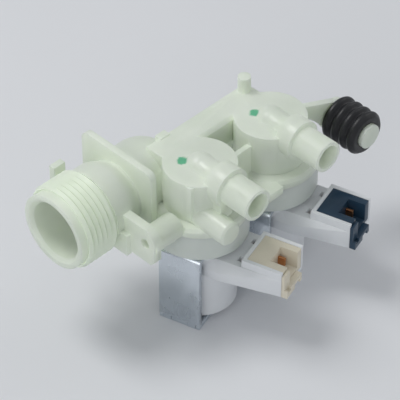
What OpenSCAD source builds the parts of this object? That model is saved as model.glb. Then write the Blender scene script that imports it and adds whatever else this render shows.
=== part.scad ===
// Double solenoid inlet valve for a washing machine. Units are millimetres.
// The origin is the middle of the inlet mouth, +X runs into the body, the outlets point to -Y, +Z is up.

/* [Inlet] */

// outer radius of the three quarter inch pipe thread
thread_r = 13.22; // [12:0.01:15]
// length of the threaded part
thread_len = 14.2; // [10:0.1:20]
// radius of the inlet bore at the mouth
inlet_bore_r = 9.4; // [8:0.1:11]
// depth of the wide part of the inlet bore
inlet_bore_len = 16; // [12:0.5:20]
// radius of the deeper bore that holds the regulator
deep_bore_r = 8.4; // [6:0.1:9]
// depth at which the deeper bore ends
deep_bore_end = 30; // [26:0.5:34]
// radius of the swollen part of the neck
neck_r = 12.3; // [11:0.1:13]
// radius of the waist just before the mounting plate
waist_r = 10.4; // [9.8:0.1:12]

/* [Mounting plate and brackets] */

// distance from the mouth to the front face of the square plate
plate_x = 25.5; // [22:0.1:30]
// thickness of the square plate
plate_t = 2.2; // [1.5:0.1:4]
// half the side of the square plate
plate_half = 14.7; // [13:0.1:18]
// corner radius of the square plate
plate_corner = 2.6; // [1:0.1:6]
// front face of the lower bracket
bracket_x = 16.8; // [14:0.1:20]
// thickness of the lower bracket
bracket_t = 3; // [2:0.1:5]
// lateral place of the screw boss, to the outlet side
boss_y = -21; // [-26:0.1:-18]
// height of the screw boss axis
boss_z = -1.8; // [-5:0.1:2]
// outer radius of the screw boss
boss_r = 4.2; // [3:0.1:6]
// length of the screw boss behind its bracket
boss_len = 8.6; // [5:0.1:12]
// radius of the screw hole in the boss
boss_hole_r = 1.6; // [1:0.1:2.5]
// depth of the screw hole
boss_hole_len = 10; // [6:0.5:11]
// reach of the rear hook from the inlet axis
hook_y = 19; // [16:0.1:24]
// width of the rear hook along the inlet axis
hook_w = 4.4; // [3:0.1:7]
// height of the lug at the end of the hook
hook_top = 4.1; // [1:0.1:8]

/* [Chambers] */

// distance from the mouth to the first chamber axis
chamber_x = 42; // [38:0.1:48]
// distance between the two chamber axes
chamber_pitch = 29.8; // [29:0.1:36]
// lateral place of the chamber axes
chamber_y = -18.3; // [-22:0.1:-16]
// outer radius of a chamber
chamber_r = 11.2; // [10:0.1:14]
// height of the flat chamber top
chamber_top = 12.5; // [10:0.1:16]
// wall thickness of a chamber
chamber_wall = 1.4; // [1:0.1:2.5]
// outer radius of the flange ring under a chamber
flange_r = 15; // [13:0.1:16]
// top of the flange ring
flange_top = -1.4; // [-3:0.1:2]
// underside of the flange ring, where the cover meets it
flange_bottom = -4.3; // [-6:0.1:-3]

/* [Outlets] */

// outer radius of an outlet stub
outlet_r = 5; // [4:0.1:7]
// bore radius of an outlet stub
outlet_bore_r = 3.9; // [2:0.1:5]
// height of the outlet axis
outlet_z = 10.4; // [8:0.1:14]
// lateral place of the outlet mouth
outlet_end = -41.8; // [-50:0.1:-36]
// free length of the stub in front of its collar
outlet_free = 10.3; // [6:0.1:16]
// radius of the collar at the root of the stub
collar_r = 6.4; // [5.2:0.1:8]
// radius of the ridge on the chamber top
ridge_r = 4.5; // [3.6:0.1:5]
// radius of the water way in the ridge
duct_r = 3.2; // [2:0.1:3.5]
// distance of the closed stub from the mouth
stub_x = 36; // [32:0.1:40]
// height of the closed stub
stub_z = -0.2; // [-3:0.1:3]
// radius of the closed stub
stub_r = 3.9; // [3:0.1:5]
// lateral place of the end of the closed stub
stub_end = -37.2; // [-42:0.1:-32]

/* [Rail] */

// rear face of the rail
rail_back = -2.4; // [-5:0.1:0]
// width of the rail
rail_w = 8.4; // [6:0.1:12]
// underside of the rail
rail_bottom = 3.2; // [0:0.1:6]
// end of the rail
rail_end = 77.4; // [70:0.1:84]
// radius of the small post on the rail
post_r = 2.05; // [1:0.05:3]
// height of the small post
post_h = 5.2; // [2:0.1:8]
// distance of the post from the mouth
post_x = 74.9; // [70:0.1:80]

/* [Buffer] */

// distance of the buffer axis from the mouth
buffer_x = 98.5; // [94:0.1:106]
// height of the buffer axis
buffer_z = -2; // [-8:0.1:4]
// rear end of the rubber buffer
buffer_back = -21; // [-24:0.1:-16]
// length of the rubber buffer
buffer_len = 13; // [9:0.1:18]
// outer radius of the buffer ribs
buffer_r = 7.25; // [5:0.05:10]
// radius of the buffer between its ribs
buffer_groove_r = 6; // [4:0.05:8]
// radius of the peg inside the buffer
peg_r = 3.1; // [2:0.05:4]
// radius of the peg head
peg_head_r = 4; // [3:0.05:5]

/* [Covers and solenoids] */

// outer radius of a lower cover
cover_r = 14.9; // [13:0.1:16]
// underside of a lower cover
cover_bottom = -13.6; // [-16:0.1:-10]
// outer radius of the blind guide tube
tube_r = 5; // [4:0.05:6]
// bore radius of the blind guide tube
tube_bore_r = 4.05; // [3:0.01:5]
// bottom of the bore of the guide tube
tube_floor = -38.6; // [-42:0.1:-34]
// turn of a solenoid about its axis, in degrees
coil_turn = 16.5; // [-45:0.5:45]
// outer radius of the moulded coil
coil_r = 11.4; // [10:0.1:14]
// distance from the coil axis to the outer face of the steel frame
yoke_half = 13.1; // [12:0.1:16]
// width of the steel frame
yoke_w = 13.8; // [10:0.1:20]
// thickness of the steel frame
yoke_t = 1.5; // [1:0.1:2.5]
// top of the steel frame
yoke_top = -14.1; // [-18:0.1:-13.8]
// lowest level of the valve
floor_z = -42.5; // [-48:0.1:-40]
// width of a crimped tab
tab_w = 2.6; // [1.5:0.1:4]
// distance between the middles of the two tabs of one side
tab_pitch = 8.4; // [5:0.1:10]

/* [Connector] */

// distance from the coil axis to the open end of the connector
socket_end = 31; // [26:0.1:36]
// distance from the coil axis to the back wall of the connector
socket_back = 17.8; // [16:0.1:22]
// half the outer width of the connector
socket_half = 7.2; // [6:0.1:9]
// half the width of the housing where it leaves the coil
root_half = 10; // [8:0.1:11]
// top of the connector wall
socket_top = -13; // [-15:0.1:-12]
// level of the deck round the connector
deck_z = -15.7; // [-17:0.1:-14.5]
// level of the lower edge of the sloping shoulder
shoulder_z = -18.8; // [-20:0.1:-17]
// underside of the connector housing
socket_bottom = -22; // [-25:0.1:-20]
// wall thickness of the connector
socket_wall = 1.2; // [0.8:0.1:2]
// distance between the two terminals
terminal_pitch = 5; // [4:0.1:6]
// thickness of a terminal
terminal_t = 0.8; // [0.4:0.1:1]
// height of a terminal blade
terminal_h = 2.8; // [2:0.1:6.3]

/* [Moving parts] */

// radius of the steel plunger
plunger_r = 4; // [3:0.01:5]
// length of the steel plunger
plunger_len = 28.55; // [24:0.05:30]
// level of the plunger top with the valve closed
plunger_top = -7.4; // [-9:0.1:-7]
// level of the top of the return spring
spring_top = -22; // [-26:0.5:-18]
// level of the main seat
seat_z = -2.6; // [-4:0.1:-2]
// radius of the hub of the diaphragm
hub_r = 6; // [5:0.1:7]
// level of the pilot seat under the hub
pilot_z = -6.6; // [-7:0.1:-6]

/* [Hidden] */

eps = 0.05;
gap = 0.05;
milk = [0.85, 0.90, 0.86];
white = [0.93, 0.94, 0.95];
cream = [0.93, 0.91, 0.84];
navy = [0.09, 0.18, 0.27];
black = [0.05, 0.05, 0.06];
zinc = [0.70, 0.74, 0.78];
steel = [0.55, 0.56, 0.58];
copper = [0.72, 0.42, 0.25];

chamber_in = chamber_r - chamber_wall;
chamber_ceiling = chamber_top - 1.6;
seat_tube_r = duct_r + 1.6;
collar_front = outlet_end + outlet_free;
rail_front = rail_back - rail_w;
way_bottom = rail_bottom + 1.4;
way_front = chamber_y + chamber_in - 1;
dome_r = 11.7;
dome_x = 35.5;
way_r = 5.6;
way_z = 3;
cover_clear_r = cover_r + 0.4;
plate_back = plate_x + plate_t;
yoke_in = yoke_half - yoke_t;
plate_top = floor_z + yoke_t;
coil_top = yoke_top - yoke_t - 0.1;
coil_bottom = plate_top + 0.4;
bead_out = 12;
bead_in = 9.95;
pilot_floor = -9.5;
spool_r = 7.2;
spool_flange_r = 10.4;
spool_bore_r = tube_r + 0.35;
window_v = 4.3;

function valve_x(i) = chamber_x + (i - 1) * chamber_pitch;

module at_valve(i) {
  translate([valve_x(i), chamber_y, 0]) children();
}

module at_coil(i) {
  at_valve(i) rotate([0, 0, coil_turn]) children();
}

module along_x(x, r, len) {
  translate([x, 0, 0]) rotate([0, 90, 0]) cylinder(h = len, r = r, $fn = 72);
}

module along_y(x, y, z, r, len) {
  translate([x, y, z]) rotate([90, 0, 0]) cylinder(h = len, r = r, $fn = 72);
}

module block(x0, x1, y0, y1, z0, z1) {
  translate([x0, y0, z0]) cube([x1 - x0, y1 - y0, z1 - z0]);
}

module disc(z0, z1, r) {
  translate([0, 0, z0]) cylinder(h = z1 - z0, r = r, $fn = 72);
}

module ring(z0, z1, r0, r1) {
  difference() {
    disc(z0, z1, r1);
    disc(z0 - 1, z1 + 1, r0);
  }
}

// the neck is turned round the inlet axis
module neck() {
  rotate([90, 0, 90]) rotate_extrude($fn = 72)
    polygon([[0, thread_len - 1], [12.6, thread_len - 1], [12.6, thread_len], [12.1, thread_len + 0.6],
      [neck_r, thread_len + 2.6], [neck_r, 20.4], [neck_r - 0.5, 22], [waist_r + 0.5, 23.9],
      [waist_r, 24.8], [waist_r + 0.2, plate_x + 1], [0, plate_x + 1]]);
}

module thread_cylinder() {
  rotate([90, 0, 90]) rotate_extrude($fn = 96)
    polygon([[0, 0], [thread_r, 0], [thread_r, thread_len], [0, thread_len]]);
}

module square_plate() {
  translate([plate_x, 0, 0]) rotate([90, 0, 90]) linear_extrude(plate_t) {
    square([plate_half * 2, (plate_half - plate_corner) * 2], center = true);
    square([(plate_half - plate_corner) * 2, plate_half * 2], center = true);
    for (sy = [-1, 1]) for (sz = [-1, 1])
      translate([sy * (plate_half - plate_corner), sz * (plate_half - plate_corner)])
        circle(r = plate_corner, $fn = 32);
  }
}

module lower_bracket() {
  block(thread_len + 1, bracket_x + bracket_t, -14.9, -8, -9.6, -2);
  translate([bracket_x, 0, 0]) rotate([90, 0, 90]) linear_extrude(bracket_t) {
    polygon([[-8, -8.8], [-23.2, -8.8], [-24.6, -7.4], [-24.6, 0.6], [-21.4, 3.6], [-8, 3.6]]);
    translate([boss_y + 0.2, -0.6]) circle(r = boss_r, $fn = 48);
  }
  translate([0, boss_y, boss_z]) along_x(bracket_x + 1, boss_r, bracket_t - 1 + boss_len);
}

module rear_hook() {
  block(bracket_x - 0.8, bracket_x - 0.8 + hook_w, 6, hook_y, -6.5, 0.4);
  block(bracket_x - 0.8, bracket_x - 0.8 + hook_w, hook_y - 2.2, hook_y, 0, hook_top);
  translate([bracket_x - 0.8 + hook_w, 0, 0]) rotate([0, -90, 0]) linear_extrude(hook_w)
    polygon([[0.3, 6], [4.6, 9], [0.3, 14.6]]);
}

module dome() {
  intersection() {
    union() {
      along_x(plate_back - 1, dome_r, dome_x - plate_back + 1);
      translate([dome_x, 0, 0]) sphere(r = dome_r, $fn = 96);
    }
    block(0, 60, -20, 20, -20, 20);
  }
}

module rail() {
  translate([dome_x, 0, 0]) rotate([90, 0, 90]) linear_extrude(rail_end - dome_x)
    polygon([[rail_back, rail_bottom], [rail_back, chamber_top], [rail_front + 1.2, chamber_top],
      [rail_front, chamber_top - 1.2], [rail_front, rail_bottom]]);
  block(40.6, 44.4, rail_back - 1, rail_back + 1.5, rail_bottom + 2, chamber_top + 0.4);
  translate([post_x, rail_back - 1.9, chamber_top - 1]) cylinder(h = post_h + 1, r = post_r, $fn = 36);
}

module chamber_outside() {
  disc(flange_top - 1, chamber_top, chamber_r);
  disc(flange_bottom, flange_top - 0.9, flange_r);
  translate([0, 0, flange_top - 0.9]) cylinder(h = 0.9, r1 = flange_r, r2 = flange_r - 0.9, $fn = 96);
}

module outlet_outside(x) {
  along_y(x, chamber_y, outlet_z, ridge_r, 12);
  translate([x, chamber_y, outlet_z]) sphere(r = ridge_r, $fn = 48);
  along_y(x, collar_front + 5.5, outlet_z, collar_r, 5.5);
  along_y(x, collar_front + 1, outlet_z, outlet_r, outlet_free + 1);
}

module closed_stub() {
  along_y(stub_x, chamber_y - 4, stub_z, stub_r, chamber_y - 4 - stub_end - 0.7);
  translate([stub_x, stub_end, stub_z]) rotate([-90, 0, 0])
    cylinder(h = 0.7, r1 = stub_r - 0.7, r2 = stub_r, $fn = 72);
  // rib down from the chamber rim and web up to the collar
  block(stub_x - 4.4, stub_x - 2.8, -24.9, -20, stub_z, chamber_top - 0.3);
  block(stub_x + 1.2, chamber_x, collar_front, -24, stub_z + 1, outlet_z);
}

module buffer_arm() {
  translate([0, buffer_back + 2.4, 0]) rotate([90, 0, 0]) linear_extrude(2.4) {
    polygon([[82, 10.2], [84.7, 9.5], [buffer_x + 0.6, buffer_z + 5.4], [buffer_x - 3.6, buffer_z - 4],
      [90.4, -0.1], [86.7, 3.5], [82, 6]]);
    translate([buffer_x, buffer_z]) circle(r = 5.4, $fn = 48);
  }
  along_y(buffer_x, buffer_back + 1, buffer_z, peg_r, buffer_len + 1.5);
  along_y(buffer_x, buffer_back - buffer_len + 0.6, buffer_z, peg_head_r, 1.8);
}

module body_outside() {
  thread_cylinder();
  neck();
  square_plate();
  lower_bracket();
  rear_hook();
  dome();
  rail();
  for (i = [1, 2]) {
    at_valve(i) chamber_outside();
    outlet_outside(valve_x(i));
  }
  closed_stub();
  buffer_arm();
  // rib between the chambers and the infill between the flange rings
  block(chamber_x + 10.6, chamber_x + chamber_pitch - 10.6, -21, -19.2, flange_bottom + 1, 8.6);
  block(57.2, 63, -32.4, -22, flange_bottom, flange_top - 0.2);
  block(48, 66, -14, rail_front + 2, flange_bottom, flange_top - 0.2);
}

module body_ways() {
  along_x(-1, inlet_bore_r, inlet_bore_len + 1);
  rotate([90, 0, 90]) rotate_extrude($fn = 72)
    polygon([[0, -1], [inlet_bore_r + 1.1, -1], [inlet_bore_r + 1.1, 0], [inlet_bore_r, 1.1], [0, 1.1]]);
  along_x(inlet_bore_len - 1, deep_bore_r, deep_bore_end - inlet_bore_len + 1);
  translate([0, 0, way_z]) along_x(deep_bore_end - 1, way_r, 13.5);
  block(38, rail_end - 1.6, way_front, rail_back - 1.4, way_bottom, chamber_ceiling);
  for (i = [1, 2]) at_valve(i) disc(flange_bottom - 1, chamber_ceiling, chamber_in);
}

module body_clearance() {
  for (i = [1, 2]) at_valve(i) disc(-60, flange_bottom, cover_clear_r);
}

module seat_tube() {
  disc(seat_z, outlet_z, seat_tube_r);
  translate([0, 0, outlet_z]) rotate([90, 0, 0]) cylinder(h = chamber_in + 0.4, r = ridge_r, $fn = 72);
  translate([0, 0, outlet_z]) sphere(r = ridge_r + 0.3, $fn = 48);
}

module valve_body() {
  color(milk) difference() {
    union() {
      difference() {
        body_outside();
        body_ways();
        body_clearance();
      }
      for (i = [1, 2]) at_valve(i) seat_tube();
    }
    for (i = [1, 2]) at_valve(i) {
      disc(seat_z - 1, outlet_z, duct_r);
      translate([0, 0, outlet_z]) sphere(r = duct_r, $fn = 48);
      translate([0, 0, outlet_z]) rotate([90, 0, 0]) cylinder(h = 14, r = duct_r, $fn = 72);
    }
    for (i = [1, 2]) along_y(valve_x(i), collar_front + 1, outlet_z, outlet_bore_r, outlet_free + 3);
    translate([bracket_x - 1, boss_y, boss_z]) rotate([0, 90, 0])
      cylinder(h = boss_hole_len + 1, r = boss_hole_r, $fn = 36);
  }
}

module rubber_buffer() {
  rib = buffer_len / 4;
  color(black) translate([buffer_x, buffer_back, buffer_z]) rotate([90, 0, 0])
    rotate_extrude($fn = 72) polygon([[peg_r + gap, gap], [buffer_r - 0.8, gap], [buffer_r, 0.9],
      [buffer_r, 1.9], [buffer_groove_r, rib - 0.2], [buffer_r - 0.4, rib + 0.7], [buffer_r, rib + 1.2],
      [buffer_r, rib + 2], [buffer_groove_r, 2 * rib - 0.1], [buffer_r - 0.4, 2 * rib + 0.7],
      [buffer_r, 2 * rib + 1.2], [buffer_r, 2 * rib + 2], [buffer_groove_r, 3 * rib - 0.1],
      [buffer_r - 0.4, 3 * rib + 0.7], [buffer_r, 3 * rib + 1.1], [buffer_r - 0.1, 3 * rib + 2],
      [buffer_r - 1.2, buffer_len], [peg_head_r + gap, buffer_len],
      [peg_head_r + gap, buffer_len - 0.6 - gap], [peg_r + gap, buffer_len - 0.6 - gap]]);
}

module inlet_strainer() {
  color(white) difference() {
    union() {
      rotate([90, 0, 90]) rotate_extrude($fn = 72)
        polygon([[7, inlet_bore_len - 2], [inlet_bore_r - gap, inlet_bore_len - 2],
          [inlet_bore_r - gap, inlet_bore_len - gap], [7.8, inlet_bore_len - gap], [7.8, 24.6], [7, 24.6]]);
      along_x(23.8, 7.4, 0.8);
    }
    for (a = [0 : 45 : 135]) rotate([a + 22.5, 0, 0]) {
      block(17, 19.6, -9, 9, -1.8, 1.8);
      block(20.4, 23, -9, 9, -1.8, 1.8);
    }
  }
  // pull tab in the middle of the cup
  color(white) block(15, 24, -0.8, 0.8, -1.6, 1.6);
}

module flow_holder() {
  color(white) difference() {
    union() {
      along_x(27, deep_bore_r - gap, deep_bore_end - 27 - gap);
      along_x(24.9, 1.5, 3);
    }
    for (a = [0 : 60 : 300]) rotate([a, 0, 0]) translate([0, 4.4, 0]) along_x(26, 1.2, 6);
  }
}

module flow_washer() {
  color(black) rotate([90, 0, 90]) rotate_extrude($fn = 72)
    polygon([[3.4, 25], [5.6, 24.95], [6.6, 25.6], [6.6, 26.95], [2.4, 26.95], [2.4, 26]]);
}

module cover(i) {
  color(milk) at_valve(i) difference() {
    union() {
      disc(cover_bottom + 0.8, flange_bottom - gap, cover_r);
      translate([0, 0, cover_bottom]) cylinder(h = 0.8, r1 = cover_r - 0.8, r2 = cover_r, $fn = 96);
      disc(tube_floor - 1, cover_bottom + 1, tube_r);
    }
    disc(-5.95, 0, bead_out + gap);
    disc(pilot_floor, 0, bead_in - gap);
    disc(tube_floor, 0, tube_bore_r);
  }
}

module diaphragm(i) {
  color(black) at_valve(i) rotate_extrude($fn = 72)
    polygon([[2.5, -3.8], [2.5, seat_z], [hub_r, seat_z], [hub_r + 1, seat_z - 0.4], [8.6, -4.5],
      [9.4, -4.8], [bead_in, -4.6], [bead_in, flange_bottom - 0.02], [bead_out, flange_bottom - 0.02],
      [bead_out, -5.9], [bead_in, -5.9], [9.3, -5.7], [8.1, -5.3], [hub_r + 0.3, -3.8]]);
}

module diaphragm_insert(i) {
  color(white) at_valve(i) difference() {
    union() {
      disc(-5.4, -3.82, hub_r);
      disc(-4, seat_z + 1.6, 2.45);
      translate([0, 0, pilot_z]) cylinder(h = 1.3, r1 = 1.1, r2 = 1.6, $fn = 36);
    }
    disc(-12, 0, 0.5);
  }
}

module plunger(i) {
  color(steel) at_valve(i) difference() {
    union() {
      disc(plunger_top - plunger_len, plunger_top - 0.5, plunger_r);
      translate([0, 0, plunger_top - 0.5]) cylinder(h = 0.5, r1 = plunger_r, r2 = plunger_r - 0.5, $fn = 72);
    }
    disc(plunger_top - 2.1, 0, 1.95);
    disc(plunger_top - plunger_len - 1, spring_top + gap, 3);
  }
}

module plunger_seal(i) {
  color(black) at_valve(i) union() {
    disc(plunger_top - 2.05, plunger_top + 0.2, 1.9);
    translate([0, 0, plunger_top + 0.2]) cylinder(h = 0.55, r1 = 1.9, r2 = 1.5, $fn = 36);
  }
}

module return_spring(i) {
  color(steel) at_valve(i) ring(tube_floor + gap, spring_top, 2.3, 2.8);
}

module yoke(i) {
  color(zinc) at_coil(i) difference() {
    translate([0, yoke_w / 2, 0]) rotate([90, 0, 0]) linear_extrude(yoke_w) difference() {
      union() {
        translate([-yoke_half, plate_top + gap]) square([yoke_half * 2, yoke_top - plate_top - gap - 2.2]);
        translate([-yoke_half + 2.2, yoke_top - 2.3]) square([yoke_half * 2 - 4.4, 2.3]);
        for (s = [-1, 1]) translate([s * (yoke_half - 2.2), yoke_top - 2.2]) circle(r = 2.2, $fn = 32);
        for (s = [-1, 1]) translate([s * (yoke_half - yoke_t / 2), floor_z + (yoke_top - floor_z) / 2])
          square([yoke_t, yoke_top - floor_z - 4], center = true);
      }
      translate([-yoke_in, floor_z - 1]) square([yoke_in * 2, yoke_top - yoke_t - floor_z + 1 - 0.7]);
      translate([-yoke_in + 0.7, floor_z - 1]) square([yoke_in * 2 - 1.4, yoke_top - yoke_t - floor_z + 1]);
      for (s = [-1, 1]) translate([s * (yoke_in - 0.7), yoke_top - yoke_t - 0.7]) circle(r = 0.7, $fn = 24);
    }
    disc(yoke_top - 4, yoke_top + 1, tube_r + 0.15);
  }
  color(zinc) at_coil(i) for (s = [-1, 1]) for (k = [-1, 1])
    translate([s * (yoke_half - yoke_t / 2), k * tab_pitch / 2, floor_z + 1.5])
      cube([yoke_t, tab_w, 3], center = true);
}

module yoke_plate(i) {
  color(zinc) at_coil(i) difference() {
    block(-yoke_half, yoke_half, -yoke_w / 2, yoke_w / 2, floor_z, plate_top);
    for (s = [-1, 1]) for (k = [-1, 1])
      translate([s * (yoke_half - yoke_t / 2 + 0.5), k * tab_pitch / 2, floor_z])
        cube([yoke_t + 1 + 2 * gap, tab_w + 2 * gap, 8], center = true);
    disc(floor_z - 1, plate_top + 1, 3);
  }
}

module pole_sleeve(i) {
  color(steel) at_valve(i) ring(coil_bottom + gap, -32, tube_r + 0.1, tube_r + 1);
}

module bobbin(i) {
  color(white) at_valve(i) difference() {
    union() {
      disc(coil_bottom + 0.1, coil_top - 0.1, spool_r);
      disc(coil_bottom + 1, coil_bottom + 2.1, spool_flange_r);
      disc(coil_top - 2.1, coil_top - 1, spool_flange_r);
    }
    disc(floor_z, 0, spool_bore_r);
    disc(floor_z, -31.9, tube_r + 1.05);
  }
}

module winding(i) {
  color(copper) at_valve(i) ring(coil_bottom + 2.15, coil_top - 2.15, spool_r + gap, 9.8);
}

// plan of the connector housing, in the coil's own frame
module housing_plan(half_end, half_root) {
  polygon([[-half_root, -6], [-half_root, -12], [-half_end, -socket_end], [half_end, -socket_end],
    [half_root, -12], [half_root, -6]]);
}

module housing_outside() {
  translate([0, 0, socket_bottom]) linear_extrude(shoulder_z - socket_bottom)
    housing_plan(socket_half, root_half);
  hull() {
    translate([0, 0, shoulder_z - 0.1]) linear_extrude(0.1) housing_plan(socket_half, root_half);
    translate([0, 0, deck_z - 0.1]) linear_extrude(0.1) housing_plan(socket_half, root_half - 2.4);
  }
  block(-socket_half, socket_half, -socket_end, -socket_back, deck_z - 1, socket_top);
}

module coil_body(i) {
  color(white) at_coil(i) difference() {
    union() {
      disc(coil_bottom + 1.2, coil_top, coil_r);
      translate([0, 0, coil_bottom]) cylinder(h = 1.2, r1 = coil_r - 1.2, r2 = coil_r, $fn = 96);
      housing_outside();
    }
    disc(floor_z, 0, spool_r + gap);
    disc(coil_bottom + 0.9, coil_top - 0.9, spool_flange_r + gap);
    block(-socket_half + socket_wall, socket_half - socket_wall, -socket_end - 1,
      -socket_back - socket_wall, socket_bottom + socket_wall, 0);
    for (s = [-1, 1]) {
      block(s * terminal_pitch / 2 - terminal_t / 2 - gap, s * terminal_pitch / 2 + terminal_t / 2 + gap,
        -20, -15.4, -18.9 - gap, -18.9 + terminal_h + gap);
      translate([s * (window_v - 0.5), -16.3, -18.4]) cube([3.3, 1.5, 1.1], center = true);
      translate([s * window_v, -16.3, -16.6]) cube([2.2, 1.8, 4.2], center = true);
    }
  }
}

module connector_insert(i) {
  half = socket_half - socket_wall - gap;
  back = -socket_back - socket_wall - gap;
  color(i == 1 ? cream : navy) at_coil(i) difference() {
    union() {
      block(-half, half, -socket_end + 0.1, back, socket_bottom + socket_wall + gap, socket_top - 0.2);
      block(-socket_half + 0.2, 2.6, -socket_end - 2, -socket_end - gap, socket_bottom - 0.2, -19.4);
      block(-socket_half + 0.2, -3.4, -socket_end - 1, -socket_end - gap, socket_bottom - 0.2, -14);
      block(-half + 0.2, 2.4, -socket_end - 1, -socket_end + 1, -20.5, -19.6);
    }
    block(-3.2, 3.7, -socket_end - 5, -25.2, -19.4, 0);
    for (s = [-1, 1])
      block(s * terminal_pitch / 2 - terminal_t / 2 - gap, s * terminal_pitch / 2 + terminal_t / 2 + gap,
        -26, -15, -18.9 - gap, -18.9 + terminal_h + gap);
    block(-6.2, -4.4, -socket_end - 3, -socket_end - 0.9, -20.5, -17.5);
    block(-1.8, 1.4, -socket_end - 3, -socket_end - 0.9, socket_bottom - 1, -20.6);
  }
}

module terminal(i, s) {
  color(copper) at_coil(i) union() {
    block(s * terminal_pitch / 2 - terminal_t / 2, s * terminal_pitch / 2 + terminal_t / 2, -27.5, -15.6,
      -18.9, -18.9 + terminal_h);
    translate([s * (window_v - 0.6), -16.3, -18.45]) cube([2.9, 1.3, 0.9], center = true);
  }
}

valve_body();
rubber_buffer();
inlet_strainer();
flow_holder();
flow_washer();
cover(1);  // cover_1
diaphragm(1);  // diaphragm_1
diaphragm_insert(1);  // diaphragm_insert_1
plunger(1);  // plunger_1
plunger_seal(1);  // plunger_seal_1
return_spring(1);  // return_spring_1
yoke(1);  // yoke_1
yoke_plate(1);  // yoke_plate_1
pole_sleeve(1);  // pole_sleeve_1
bobbin(1);  // bobbin_1
winding(1);  // winding_1
coil_body(1);  // coil_body_1
connector_insert(1);  // connector_insert_1
terminal(1, -1);  // terminal_a_1
terminal(1, 1);  // terminal_b_1
cover(2);  // cover_2
diaphragm(2);  // diaphragm_2
diaphragm_insert(2);  // diaphragm_insert_2
plunger(2);  // plunger_2
plunger_seal(2);  // plunger_seal_2
return_spring(2);  // return_spring_2
yoke(2);  // yoke_2
yoke_plate(2);  // yoke_plate_2
pole_sleeve(2);  // pole_sleeve_2
bobbin(2);  // bobbin_2
winding(2);  // winding_2
coil_body(2);  // coil_body_2
connector_insert(2);  // connector_insert_2
terminal(2, -1);  // terminal_a_2
terminal(2, 1);  // terminal_b_2
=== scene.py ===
"""Looks of a double solenoid inlet valve for a washing machine, dressed over its CAD frame. Units are metres."""

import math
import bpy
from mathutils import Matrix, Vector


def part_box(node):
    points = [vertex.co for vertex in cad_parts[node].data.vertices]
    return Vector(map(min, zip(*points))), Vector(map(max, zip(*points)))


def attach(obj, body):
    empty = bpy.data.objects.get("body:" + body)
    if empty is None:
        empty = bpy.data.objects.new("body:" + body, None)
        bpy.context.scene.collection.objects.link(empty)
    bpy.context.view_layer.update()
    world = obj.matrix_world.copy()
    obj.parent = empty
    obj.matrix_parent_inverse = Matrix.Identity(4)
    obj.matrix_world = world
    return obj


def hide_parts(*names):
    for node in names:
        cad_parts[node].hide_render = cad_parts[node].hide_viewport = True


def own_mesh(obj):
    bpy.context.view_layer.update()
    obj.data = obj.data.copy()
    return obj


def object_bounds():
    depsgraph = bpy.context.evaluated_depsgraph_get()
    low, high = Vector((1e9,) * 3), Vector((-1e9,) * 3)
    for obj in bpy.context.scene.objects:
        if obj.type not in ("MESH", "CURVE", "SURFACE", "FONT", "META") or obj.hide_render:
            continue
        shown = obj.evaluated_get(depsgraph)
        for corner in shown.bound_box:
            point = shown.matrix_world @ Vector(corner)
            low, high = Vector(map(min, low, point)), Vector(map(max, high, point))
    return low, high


bl_info = {
    "name": "Washing machine inlet valve",
    "version": (1, 0, 0),
    "blender": (4, 5, 0),
    "location": "3D View > Sidebar > Inlet valve",
    "description": "Dresses the CAD frame of a double solenoid inlet valve",
    "category": "Add Mesh",
}

import bmesh
import bpy
from mathutils import Matrix, Vector

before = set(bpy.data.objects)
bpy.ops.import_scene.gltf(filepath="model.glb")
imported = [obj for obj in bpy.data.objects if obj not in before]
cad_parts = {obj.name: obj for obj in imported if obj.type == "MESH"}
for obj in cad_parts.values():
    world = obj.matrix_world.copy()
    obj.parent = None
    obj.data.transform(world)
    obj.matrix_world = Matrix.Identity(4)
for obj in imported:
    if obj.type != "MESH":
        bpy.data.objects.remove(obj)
CAD_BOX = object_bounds()
MM = 0.001
SIDES = (1, 2)
COIL_TURN = math.radians(16.5)
DISC_TOP = 0.0125


# Shader maths as expressions


class Value:
    """One output of a finish's nodes. The usual operators on it add Math nodes."""

    def __init__(self, finish, socket):
        self.finish = finish
        self.socket = socket

    def maths(self, operation, *values):
        return self.finish.node(
            "ShaderNodeMath", {"operation": operation}, dict(enumerate(values))
        )

    def __add__(self, other):
        return self.maths("ADD", self, other)

    def __radd__(self, other):
        return self.maths("ADD", other, self)

    def __sub__(self, other):
        return self.maths("SUBTRACT", self, other)

    def __rsub__(self, other):
        return self.maths("SUBTRACT", other, self)

    def __mul__(self, other):
        return self.maths("MULTIPLY", self, other)

    def __rmul__(self, other):
        return self.maths("MULTIPLY", other, self)

    def __truediv__(self, other):
        return self.maths("DIVIDE", self, other)

    def __pow__(self, other):
        return self.maths("POWER", self, other)

    def between(self, low, high):
        """0 below low, 1 above high, and a smooth step from one to the other."""
        return self.finish.node(
            "ShaderNodeMapRange",
            {"interpolation_type": "SMOOTHSTEP"},
            {"Value": self, "From Min": low, "From Max": high},
        )


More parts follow.
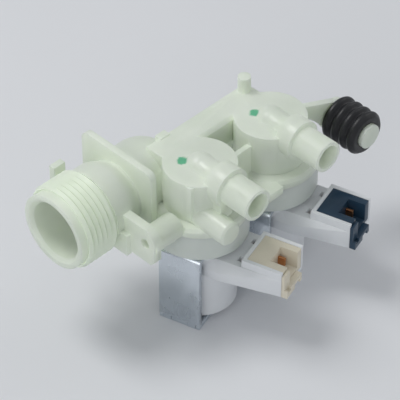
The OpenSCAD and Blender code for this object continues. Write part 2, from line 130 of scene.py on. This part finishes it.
class Finish:
    """A material with one Principled shader and the nodes that feed it."""

    def __init__(self, name, **constants):
        self.material = bpy.data.materials.new(name)
        self.material.use_nodes = True
        self.tree = self.material.node_tree
        self.shader = self.tree.nodes["Principled BSDF"]
        for socket, number in constants.items():
            self.shader.inputs[socket.replace("_", " ")].default_value = number

    def connect(self, socket, value):
        if isinstance(value, Value):
            self.tree.links.new(value.socket, socket)
        elif socket.type == "RGBA" and len(value) == 3:
            socket.default_value = (*value, 1)
        else:
            socket.default_value = value

    def node(self, kind, settings=(), inputs=(), output=0):
        """Any node: its settings are set first, then its sockets get values or links."""
        made = self.tree.nodes.new(kind)
        for name, setting in dict(settings).items():
            setattr(made, name, setting)
        for name, value in dict(inputs).items():
            self.connect(made.inputs[name], value)
        return Value(self, made.outputs[output])

    def place(self):
        """Where a point lies on the object, in metres."""
        return self.node("ShaderNodeTexCoord", output="Object")

    def noise(self, scale, detail=2.0, stretch=(1, 1, 1)):
        """Soft noise from 0 to 1 with features of about 1 / scale metres."""
        place = self.node(
            "ShaderNodeMapping", {}, {"Vector": self.place(), "Scale": stretch}
        )
        return self.node(
            "ShaderNodeTexNoise", {}, {"Vector": place, "Scale": scale, "Detail": detail}
        )

    def mix(self, factor, first, second):
        """first where factor is 0 and second where it is 1, both colours."""
        return self.node(
            "ShaderNodeMix",
            {"data_type": "RGBA"},
            {0: factor, 6: first, 7: second},
            output=2,
        )

    def paint(self, colour=None, roughness=None, height=None, depth=0.0001):
        """Feeds the shader: a colour, a roughness and a height for the bump."""
        if colour is not None:
            self.connect(self.shader.inputs["Base Color"], colour)
        if roughness is not None:
            self.connect(self.shader.inputs["Roughness"], roughness)
        if height is not None:
            bump = self.node(
                "ShaderNodeBump", {}, {"Height": height, "Distance": depth}
            )
            self.connect(self.shader.inputs["Normal"], bump)
        return self.material


def darker(colour, share):
    """The colour with share of its light."""
    return tuple(c * share for c in colour)


def spot(finish, x, y, radius):
    """A mask of a round, ragged spot on a chamber top."""
    ragged = finish.node(
        "ShaderNodeVectorMath",
        {"operation": "MULTIPLY_ADD"},
        {
            0: finish.node(
                "ShaderNodeTexNoise",
                {},
                {"Vector": finish.place(), "Scale": 900.0, "Detail": 2.0},
                output="Color",
            ),
            1: (0.0012, 0.0012, 0.0),
            2: finish.place(),
        },
    )
    away = finish.node(
        "ShaderNodeVectorMath",
        {"operation": "DISTANCE"},
        {0: ragged, 1: (x + 0.0006, y + 0.0006, DISC_TOP)},
        output="Value",
    )
    return 1 - away.between(radius * 0.55, radius)


def milky_moulding(name, colour, shade, inked=()):
    """Translucent white moulding with slow clouds, faint flow marks and spots of ink."""
    finish = Finish(
        name,
        Subsurface_Weight=0.45,
        Subsurface_Radius=(0.0045, 0.0050, 0.0036),
        Subsurface_Scale=1.0,
        IOR=1.5,
        Specular_IOR_Level=0.5,
    )
    finish.shader.subsurface_method = "BURLEY"
    clouds = finish.noise(55.0, 3.0)
    flow = finish.noise(160.0, 2.0, stretch=(1, 3, 1))
    tint = finish.mix(clouds.between(0.35, 0.7), colour, shade)
    for x, y, radius, ink in inked:
        tint = finish.mix(spot(finish, x, y, radius) * 0.85, tint, ink)
    grain = finish.noise(2600.0, 1.0)
    return finish.paint(
        colour=tint,
        roughness=0.27 + 0.10 * flow,
        height=flow * 0.8 + grain * 0.2,
        depth=0.00008,
    )


def opaque_moulding(name, colour, gloss, grain_depth=0.00004):
    """Plain technical plastic with a fine spark-eroded grain."""
    finish = Finish(name, IOR=1.5)
    slow = finish.noise(90.0, 2.0)
    grain = finish.noise(3200.0, 2.0)
    return finish.paint(
        colour=finish.mix(slow.between(0.3, 0.75), colour, darker(colour, 0.94)),
        roughness=(1 - gloss) + 0.08 * grain,
        height=grain,
        depth=grain_depth,
    )


def moulded_rubber(name, colour):
    """Black rubber: a soft sheen, dusty in places, with a fine grain."""
    finish = Finish(name, IOR=1.52)
    dust = finish.noise(140.0, 3.0)
    grain = finish.noise(1800.0, 2.0)
    return finish.paint(
        colour=finish.mix(dust.between(0.45, 0.8) * 0.5, colour, (0.035, 0.036, 0.04)),
        roughness=0.34 + 0.14 * dust,
        height=grain,
        depth=0.00005,
    )


def plated_sheet(name, colour):
    """Zinc plated sheet: cloudy spangle and faint rolling lines."""
    finish = Finish(name, Metallic=1.0)
    spangle = finish.node(
        "ShaderNodeTexVoronoi",
        {"feature": "F1"},
        {"Vector": finish.place(), "Scale": 260.0},
        output="Color",
    )
    cloud = finish.node("ShaderNodeSeparateColor", {}, {0: spangle})
    rolled = finish.noise(300.0, 2.0, stretch=(1, 1, 0.06))
    return finish.paint(
        colour=finish.mix(cloud * 0.35, colour, darker(colour, 0.8)),
        roughness=0.17 + 0.12 * rolled + 0.05 * cloud,
        height=rolled,
        depth=0.00002,
    )


def turned_metal(name, colour, roughness=0.28):
    """Bright metal with fine turned or drawn lines along Z."""
    finish = Finish(name, Metallic=1.0)
    lines = finish.noise(700.0, 2.0, stretch=(0.1, 0.1, 6))
    return finish.paint(
        colour=finish.mix(lines.between(0.4, 0.7), colour, darker(colour, 0.85)),
        roughness=roughness + 0.12 * lines,
        height=lines,
        depth=0.00002,
    )


# Meshes


def link(mesh, name):
    made = bpy.data.objects.new(name, mesh)
    bpy.context.scene.collection.objects.link(made)
    return made


def applied(piece):
    """The piece as a plain mesh with its modifiers worked in."""
    graph = bpy.context.evaluated_depsgraph_get()
    mesh = bpy.data.meshes.new_from_object(piece.evaluated_get(graph))
    piece.modifiers.clear()
    old = piece.data
    piece.data = mesh
    bpy.data.meshes.remove(old)
    return piece


def smooth(piece, angle=32):
    """Smooth shading that keeps edges over the angle sharp."""
    piece.data.shade_smooth()
    piece.data.set_sharp_from_angle(angle=math.radians(angle))
    return piece


def cad_copy(node, name):
    """A merged copy of a CAD node's mesh, with flat faces made whole."""
    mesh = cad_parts[node].data.copy()
    work = bmesh.new()
    work.from_mesh(mesh)
    bmesh.ops.remove_doubles(work, verts=work.verts, dist=2e-6)
    bmesh.ops.dissolve_limit(
        work,
        angle_limit=math.radians(0.2),
        verts=work.verts,
        edges=work.edges,
        use_dissolve_boundaries=False,
    )
    work.to_mesh(mesh)
    work.free()
    mesh.materials.clear()
    return link(mesh, name)


def break_edges(piece, width, angle=38, segments=2):
    """Rounds the edges a little, as a mould or a press leaves them."""
    bevel = piece.modifiers.new("edges", "BEVEL")
    bevel.width = width
    bevel.segments = segments
    bevel.limit_method = "ANGLE"
    bevel.angle_limit = math.radians(angle)
    bevel.use_clamp_overlap = True
    bevel.harden_normals = False
    return applied(piece)


def dress(piece, material, body, slot, *nodes):
    """Gives the piece its material and its place in the frame."""
    piece.data.materials.clear()
    piece.data.materials.append(material)
    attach(piece, body)
    if nodes:
        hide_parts(*nodes)
    return piece


def softened(node, material, body, slot, width=0.0002, angle=38):
    """The usual way for a rigid piece: the CAD shape with its edges broken."""
    piece = smooth(break_edges(cad_copy(node, node + "_looks"), width, angle))
    return dress(piece, material, body, slot, node)


# Geometry Nodes


def tree_with(name, inputs):
    """An empty Geometry Nodes tree with named inputs, and its two end nodes."""
    tree = bpy.data.node_groups.new(name, "GeometryNodeTree")
    tree.interface.new_socket(
        "Geometry", in_out="OUTPUT", socket_type="NodeSocketGeometry"
    )
    for label, kind, value in inputs:
        socket = tree.interface.new_socket(
            label, in_out="INPUT", socket_type="NodeSocket" + kind
        )
        if value is not None:
            socket.default_value = value
    return (
        tree,
        tree.nodes.new("NodeGroupInput").outputs,
        tree.nodes.new("NodeGroupOutput").inputs,
    )


def geometry_node(tree, kind, settings=(), inputs=()):
    made = tree.nodes.new(kind)
    for name, setting in dict(settings).items():
        setattr(made, name, setting)
    for name, value in dict(inputs).items():
        if isinstance(value, bpy.types.NodeSocket):
            tree.links.new(value, made.inputs[name])
        else:
            made.inputs[name].default_value = value
    return made.outputs


def helix_tree(name, profile_kind, profile_settings, profile_inputs, extra=()):
    """A rod of any profile wound on a helix about Z."""
    tree, given, end = tree_with(
        name,
        [
            ("Radius", "Float", 0.005),
            ("Height", "Float", 0.01),
            ("Turns", "Float", 5.0),
            ("Steps", "Int", 40),
            ("Material", "Material", None),
            *extra,
        ],
    )
    path = geometry_node(
        tree,
        "GeometryNodeCurveSpiral",
        {},
        {
            "Resolution": given["Steps"],
            "Rotations": given["Turns"],
            "Start Radius": given["Radius"],
            "End Radius": given["Radius"],
            "Height": given["Height"],
        },
    )
    upright = geometry_node(
        tree, "GeometryNodeSetCurveNormal", {"mode": "Z_UP"}, {"Curve": path[0]}
    )
    linked = {
        key: given[value] if isinstance(value, str) else value
        for key, value in profile_inputs.items()
    }
    profile = geometry_node(tree, profile_kind, profile_settings, linked)
    rod = geometry_node(
        tree,
        "GeometryNodeCurveToMesh",
        {},
        {"Curve": upright[0], "Profile Curve": profile[0], "Fill Caps": True},
    )
    whole = geometry_node(tree, "GeometryNodeRealizeInstances", {}, {0: rod[0]})
    coated = geometry_node(
        tree,
        "GeometryNodeSetMaterial",
        {},
        {"Geometry": whole[0], "Material": given["Material"]},
    )
    tree.links.new(coated[0], end[0])
    return tree


def run_tree(name, tree, values):
    """A plain mesh object from a Geometry Nodes tree and its inputs' values."""
    piece = link(bpy.data.meshes.new(name), name)
    modifier = piece.modifiers.new("make", "NODES")
    modifier.node_group = tree
    for item in tree.interface.items_tree:
        if item.in_out == "INPUT" and item.name in values:
            modifier[item.identifier] = values[item.name]
    return applied(piece)


def moved(piece, matrix):
    """Moves the mesh and leaves its object at the origin."""
    piece.data.transform(matrix)
    return piece


def joined(first, second):
    """Adds the second piece's faces to the first, with their material."""
    work = bmesh.new()
    work.from_mesh(first.data)
    work.from_mesh(second.data)
    work.to_mesh(first.data)
    work.free()
    bpy.data.objects.remove(second)
    return first


# What a user may change


class ValveSizes(bpy.types.PropertyGroup):
    """Sizes of the details that the looks add to the CAD frame."""

    thread_pitch: bpy.props.FloatProperty(
        name="Thread pitch",
        description="Distance from one crest of the inlet thread to the next",
        default=0.001814,
        unit="LENGTH",
        precision=5,
    )
    thread_depth: bpy.props.FloatProperty(
        name="Thread depth",
        description="Height of the inlet thread from root to crest",
        default=0.00105,
        unit="LENGTH",
        precision=5,
    )
    thread_start: bpy.props.FloatProperty(
        name="Thread start",
        description="Smooth lead-in between the mouth and the first turn",
        default=0.0022,
        unit="LENGTH",
        precision=4,
    )
    mould_edge: bpy.props.FloatProperty(
        name="Mould edge",
        description="Rounding of the body's edges",
        default=0.0003,
        unit="LENGTH",
        precision=5,
    )
    spring_wire: bpy.props.FloatProperty(
        name="Spring wire",
        description="Radius of the return spring's wire",
        default=0.00025,
        unit="LENGTH",
        precision=5,
    )
    spring_turns: bpy.props.FloatProperty(
        name="Spring turns",
        description="Turns of the return spring",
        default=11.0,
    )
    winding_wire: bpy.props.FloatProperty(
        name="Winding wire",
        description="Radius of the enamelled wire in the outer layer",
        default=0.0002,
        unit="LENGTH",
        precision=5,
    )


class ValveColours(bpy.types.PropertyGroup):
    """Colours of the finishes."""

    body: bpy.props.FloatVectorProperty(
        name="Body",
        description="Milky moulding of the valve body",
        default=(0.77, 0.82, 0.72),
        subtype="COLOR",
    )
    body_shade: bpy.props.FloatVectorProperty(
        name="Body shade",
        description="Deeper tint in the clouds of the moulding",
        default=(0.71, 0.77, 0.66),
        subtype="COLOR",
    )
    cover: bpy.props.FloatVectorProperty(
        name="Covers",
        description="Lower covers, a little greyer than the body",
        default=(0.68, 0.73, 0.68),
        subtype="COLOR",
    )
    coil: bpy.props.FloatVectorProperty(
        name="Coils",
        description="White plastic round the windings",
        default=(0.84, 0.86, 0.88),
        subtype="COLOR",
    )
    cream: bpy.props.FloatVectorProperty(
        name="First insert",
        description="Cream coding insert",
        default=(0.80, 0.74, 0.60),
        subtype="COLOR",
    )
    navy: bpy.props.FloatVectorProperty(
        name="Second insert",
        description="Dark blue coding insert",
        default=(0.018, 0.05, 0.09),
        subtype="COLOR",
    )
    ink: bpy.props.FloatVectorProperty(
        name="Ink",
        description="Green test marks on the chamber tops",
        default=(0.02, 0.42, 0.2),
        subtype="COLOR",
    )
    rubber: bpy.props.FloatVectorProperty(
        name="Rubber",
        description="Black rubber",
        default=(0.012, 0.012, 0.014),
        subtype="COLOR",
    )
    zinc: bpy.props.FloatVectorProperty(
        name="Zinc",
        description="Plated steel of the frames",
        default=(0.66, 0.71, 0.76),
        subtype="COLOR",
    )
    steel: bpy.props.FloatVectorProperty(
        name="Steel",
        description="Plungers, sleeves and springs",
        default=(0.55, 0.56, 0.58),
        subtype="COLOR",
    )
    copper: bpy.props.FloatVectorProperty(
        name="Copper",
        description="Windings and terminals",
        default=(0.72, 0.36, 0.18),
        subtype="COLOR",
    )
    floor: bpy.props.FloatVectorProperty(
        name="Floor",
        description="Plain studio floor",
        default=(0.80, 0.81, 0.83),
        subtype="COLOR",
    )


def sizes():
    return bpy.context.scene.valve_sizes


def colours():
    return bpy.context.scene.valve_colours


# The pieces


class BuildBody(bpy.types.Operator):
    """Makes the moulded body with its inlet thread and the ink marks"""

    bl_idname = "valve.body"
    bl_label = "Body"

    def execute(self, context):
        size, colour = sizes(), colours()
        crest, length = 0.01322, 0.0142
        root = crest - size.thread_depth
        body = cad_copy("valve_body", "body_moulding")
        for vertex in body.data.vertices:
            away = math.hypot(vertex.co.y, vertex.co.z)
            if vertex.co.x < length + 1e-5 and abs(away - crest) < 3e-5:
                vertex.co.y *= root / away
                vertex.co.z *= root / away
        body = smooth(break_edges(body, size.mould_edge))
        tree = helix_tree(
            "inlet_thread",
            "GeometryNodeCurvePrimitiveQuadrilateral",
            {"mode": "TRAPEZOID"},
            {
                "Height": "Tooth Height",
                "Bottom Width": "Root Width",
                "Top Width": "Crest Width",
                "Offset": 0.0,
            },
            extra=[
                ("Tooth Height", "Float", 0.001),
                ("Root Width", "Float", 0.0017),
                ("Crest Width", "Float", 0.0003),
            ],
        )
        run = length - size.thread_start - 0.0012
        tooth = size.thread_depth + 0.0001
        thread = run_tree(
            "thread_turns",
            tree,
            {
                "Radius": crest - tooth / 2,
                "Height": run,
                "Turns": run / size.thread_pitch,
                "Steps": 96,
                "Tooth Height": tooth,
                "Root Width": size.thread_pitch * 0.96,
                "Crest Width": size.thread_pitch * 0.2,
            },
        )
        moved(
            thread,
            Matrix.Translation((size.thread_start + 0.0003, 0, 0))
            @ Matrix.Rotation(math.radians(90), 4, "Y"),
        )
        smooth(thread, 50)
        joined(body, thread)
        material = milky_moulding(
            "milky_body",
            colour.body,
            colour.body_shade,
            [(0.0387, -0.0143, 0.0021, colour.ink), (0.0693, -0.0142, 0.0021, colour.ink)],
        )
        dress(body, material, "valve", "body_plastic", "valve_body")
        return {"FINISHED"}


class BuildCovers(bpy.types.Operator):
    """Makes the lower covers with their guide tubes"""

    bl_idname = "valve.covers"
    bl_label = "Covers"

    def execute(self, context):
        colour = colours().cover
        material = milky_moulding("milky_cover", colour, darker(colour, 0.93))
        for side in SIDES:
            softened(f"cover_{side}", material, "valve", "cover_plastic")
        return {"FINISHED"}


class BuildCoils(bpy.types.Operator):
    """Makes the white coil mouldings with their plug housings, and the bobbins"""

    bl_idname = "valve.coils"
    bl_label = "Coil mouldings"

    def execute(self, context):
        white = opaque_moulding("coil_white", colours().coil, 0.66)
        natural = opaque_moulding("bobbin_natural", darker(colours().coil, 0.9), 0.55)
        for side in SIDES:
            softened(f"coil_body_{side}", white, "valve", "coil_plastic", 0.0003)
            softened(f"bobbin_{side}", natural, "valve", "bobbin_plastic")
        return {"FINISHED"}


class BuildFrames(bpy.types.Operator):
    """Makes the bent steel frames, their closing plates and the pole sleeves"""

    bl_idname = "valve.frames"
    bl_label = "Steel frames"

    def execute(self, context):
        zinc = plated_sheet("zinc_plating", colours().zinc)
        steel = turned_metal("sleeve_steel", colours().steel)
        for side in SIDES:
            softened(f"yoke_{side}", zinc, "valve", "zinc_steel", 0.00018)
            softened(f"yoke_plate_{side}", zinc, "valve", "zinc_steel", 0.00018)
            softened(f"pole_sleeve_{side}", steel, "valve", "plunger_steel", 0.0001)
        return {"FINISHED"}


class BuildPlugSeats(bpy.types.Operator):
    """Makes the coding inserts and the terminals"""

    bl_idname = "valve.plug_seats"
    bl_label = "Inserts and terminals"

    def execute(self, context):
        colour = colours()
        inserts = {
            1: (opaque_moulding("insert_cream", colour.cream, 0.62), "insert_cream"),
            2: (opaque_moulding("insert_navy", colour.navy, 0.7), "insert_navy"),
        }
        copper = turned_metal("terminal_copper", colour.copper, 0.3)
        for side, (material, slot) in inserts.items():
            softened(f"connector_insert_{side}", material, "valve", slot, 0.00015)
            for letter in "ab":
                softened(
                    f"terminal_{letter}_{side}", copper, "valve", "tinned_copper", 0.0001
                )
        return {"FINISHED"}


class BuildBuffer(bpy.types.Operator):
    """Makes the ribbed rubber buffer"""

    bl_idname = "valve.buffer"
    bl_label = "Rubber buffer"

    def execute(self, context):
        rubber = moulded_rubber("buffer_black", colours().rubber)
        softened("rubber_buffer", rubber, "valve", "buffer_rubber", 0.0003, 25)
        return {"FINISHED"}


class BuildInlet(bpy.types.Operator):
    """Makes the strainer and the flow regulator in the inlet"""

    bl_idname = "valve.inlet"
    bl_label = "Strainer and regulator"

    def execute(self, context):
        white = opaque_moulding("strainer_white", (0.76, 0.78, 0.76), 0.5)
        rubber = moulded_rubber("washer_black", colours().rubber)
        softened("inlet_strainer", white, "valve", "strainer_plastic", 0.0001)
        softened("flow_holder", white, "valve", "strainer_plastic", 0.0001)
        softened("flow_washer", rubber, "valve", "washer_rubber", 0.0001)
        return {"FINISHED"}


class BuildPlungers(bpy.types.Operator):
    """Makes the diaphragms, their hubs, the plungers and the plungers' seals"""

    bl_idname = "valve.plungers"
    bl_label = "Diaphragms and plungers"

    def execute(self, context):
        colour = colours()
        rubber = moulded_rubber("diaphragm_black", colour.rubber)
        hub = opaque_moulding("hub_white", (0.82, 0.82, 0.78), 0.5)
        steel = turned_metal("plunger_steel", colour.steel, 0.22)
        for side in SIDES:
            skin = softened(
                f"diaphragm_{side}", rubber, "valve", "diaphragm_rubber", 0.0001
            )
            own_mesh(skin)
            softened(
                f"diaphragm_insert_{side}", hub, f"hub_{side}", "hub_plastic", 0.0001
            )
            softened(
                f"plunger_{side}", steel, f"plunger_{side}", "plunger_steel", 0.0001
            )
            softened(
                f"plunger_seal_{side}",
                rubber,
                f"plunger_{side}",
                "seal_rubber",
                0.0001,
            )
        return {"FINISHED"}


class BuildSprings(bpy.types.Operator):
    """Winds the return springs under the plungers"""

    bl_idname = "valve.springs"
    bl_label = "Return springs"

    def execute(self, context):
        size = sizes()
        steel = turned_metal("spring_wire", colours().steel, 0.25)
        tree = helix_tree(
            "wire_helix",
            "GeometryNodeCurvePrimitiveCircle",
            {},
            {"Radius": "Wire Radius", "Resolution": 10},
            extra=[("Wire Radius", "Float", 0.00025)],
        )
        for side in SIDES:
            low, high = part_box(f"return_spring_{side}")
            middle = (low + high) / 2 if isinstance(low, Vector) else None
            centre_x = (low[0] + high[0]) / 2
            centre_y = (low[1] + high[1]) / 2
            outer = (high[0] - low[0]) / 2
            wire = size.spring_wire
            spring = run_tree(
                f"return_spring_{side}_wire",
                tree,
                {
                    "Radius": outer - wire,
                    "Height": high[2] - low[2] - 2 * wire,
                    "Turns": size.spring_turns,
                    "Steps": 36,
                    "Wire Radius": wire,
                },
            )
            moved(spring, Matrix.Translation((centre_x, centre_y, low[2] + wire)))
            smooth(spring, 60)
            dress(
                spring, steel, "valve", "spring_steel", f"return_spring_{side}"
            )
            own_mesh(spring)
        return {"FINISHED"}


class BuildWindings(bpy.types.Operator):
    """Winds the outer layer of each coil over its copper core"""

    bl_idname = "valve.windings"
    bl_label = "Windings"

    def execute(self, context):
        size = sizes()
        copper = turned_metal("winding_copper", colours().copper, 0.3)
        tree = bpy.data.node_groups["wire_helix"]
        for side in SIDES:
            low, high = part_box(f"winding_{side}")
            centre_x = (low[0] + high[0]) / 2
            centre_y = (low[1] + high[1]) / 2
            outer = (high[0] - low[0]) / 2
            wire = size.winding_wire
            height = high[2] - low[2] - 2 * wire
            layer = run_tree(
                f"winding_{side}_layer",
                tree,
                {
                    "Radius": outer - wire,
                    "Height": height,
                    "Turns": float(round(height / (2.05 * wire))),
                    "Steps": 40,
                    "Wire Radius": wire,
                },
            )
            moved(layer, Matrix.Translation((centre_x, centre_y, low[2] + wire)))
            smooth(layer, 60)
            core = cad_copy(f"winding_{side}", f"winding_{side}_core")
            for vertex in core.data.vertices:
                x = vertex.co.x - centre_x
                y = vertex.co.y - centre_y
                away = math.hypot(x, y)
                if away > outer - 1e-5:
                    vertex.co.x = centre_x + x * (outer - wire) / away
                    vertex.co.y = centre_y + y * (outer - wire) / away
            smooth(core)
            joined(layer, core)
            dress(layer, copper, "valve", "copper_wire", f"winding_{side}")
        return {"FINISHED"}


class BuildStage(bpy.types.Operator):
    """Sets the floor, the soft lights and the camera"""

    bl_idname = "valve.stage"
    bl_label = "Stage"

    floor_size = 4.0
    aim = Vector((0.03463, -0.02568, 0.00697))
    distance = 0.69663
    azimuth = math.radians(-45)
    elevation = math.radians(42.24)

    def soft_light(self, name, place, size, power):
        lamp = bpy.data.lights.new(name, "AREA")
        lamp.shape = "DISK"
        lamp.size = size
        lamp.energy = power
        made = bpy.data.objects.new(name, lamp)
        made.location = place
        made.rotation_euler = (
            (self.aim - Vector(place)).to_track_quat("-Z", "Y").to_euler()
        )
        bpy.context.scene.collection.objects.link(made)

    def execute(self, context):
        scene = context.scene
        scene.view_settings.view_transform = "Standard"
        camera = bpy.data.cameras.new("camera")
        camera.lens = 216
        camera.sensor_width = 36
        camera.clip_start = 0.05
        camera.clip_end = 20
        back = Vector(
            (
                math.sin(self.azimuth) * math.cos(self.elevation),
                -math.cos(self.azimuth) * math.cos(self.elevation),
                math.sin(self.elevation),
            )
        )
        holder = bpy.data.objects.new("camera", camera)
        holder.location = self.aim + back * self.distance
        holder.rotation_mode = "QUATERNION"
        holder.rotation_quaternion = (-back).to_track_quat("-Z", "Y")
        scene.collection.objects.link(holder)
        scene.camera = holder

        level = CAD_BOX[0].z
        half = self.floor_size / 2
        mesh = bpy.data.meshes.new("floor")
        mesh.from_pydata(
            [
                (-half, -half, level),
                (half, -half, level),
                (half, half, level),
                (-half, half, level),
            ],
            [],
            [(0, 1, 2, 3)],
        )
        floor = link(mesh, "floor")
        finish = Finish("floor", IOR=1.4)
        cloth = finish.noise(30.0, 3.0)
        tone = colours().floor
        mesh.materials.append(
            finish.paint(
                colour=finish.mix(cloth, tone, darker(tone, 0.985)),
                roughness=0.62 + 0.1 * cloth,
            )
        )

        world = bpy.data.worlds.new("studio")
        world.use_nodes = True
        sky = world.node_tree.nodes["Background"]
        sky.inputs["Color"].default_value = (0.93, 0.96, 1.0, 1)
        sky.inputs["Strength"].default_value = 0.42
        scene.world = world
        self.soft_light("key", (-0.15, 0.30, 0.75), 0.35, 2.6)
        self.soft_light("fill", (-0.75, -0.30, 0.35), 0.5, 0.9)
        self.soft_light("rim", (0.7, -0.2, 0.45), 0.4, 0.5)
        return {"FINISHED"}


OPERATORS = (
    BuildStage,
    BuildBody,
    BuildCovers,
    BuildCoils,
    BuildFrames,
    BuildPlugSeats,
    BuildBuffer,
    BuildInlet,
    BuildPlungers,
    BuildSprings,
    BuildWindings,
)


class ValvePanel(bpy.types.Panel):
    """Lists the sizes, the colours and the pieces"""

    bl_idname = "VIEW3D_PT_inlet_valve"
    bl_label = "Inlet valve"
    bl_space_type = "VIEW_3D"
    bl_region_type = "UI"
    bl_category = "Inlet valve"

    def draw(self, context):
        column = self.layout.column()
        for group in (context.scene.valve_sizes, context.scene.valve_colours):
            for name in group.__annotations__:
                column.prop(group, name)
        for operator in OPERATORS:
            column.operator(operator.bl_idname)


CLASSES = (ValveSizes, ValveColours, *OPERATORS, ValvePanel)


def register():
    for item in CLASSES:
        bpy.utils.register_class(item)
    bpy.types.Scene.valve_sizes = bpy.props.PointerProperty(type=ValveSizes)
    bpy.types.Scene.valve_colours = bpy.props.PointerProperty(type=ValveColours)


def unregister():
    del bpy.types.Scene.valve_colours
    del bpy.types.Scene.valve_sizes
    for item in reversed(CLASSES):
        bpy.utils.unregister_class(item)


def main():
    register()
    for operator in OPERATORS:
        family, name = operator.bl_idname.split(".")
        getattr(getattr(bpy.ops, family), name)()


if __name__ == "__main__":
    main()
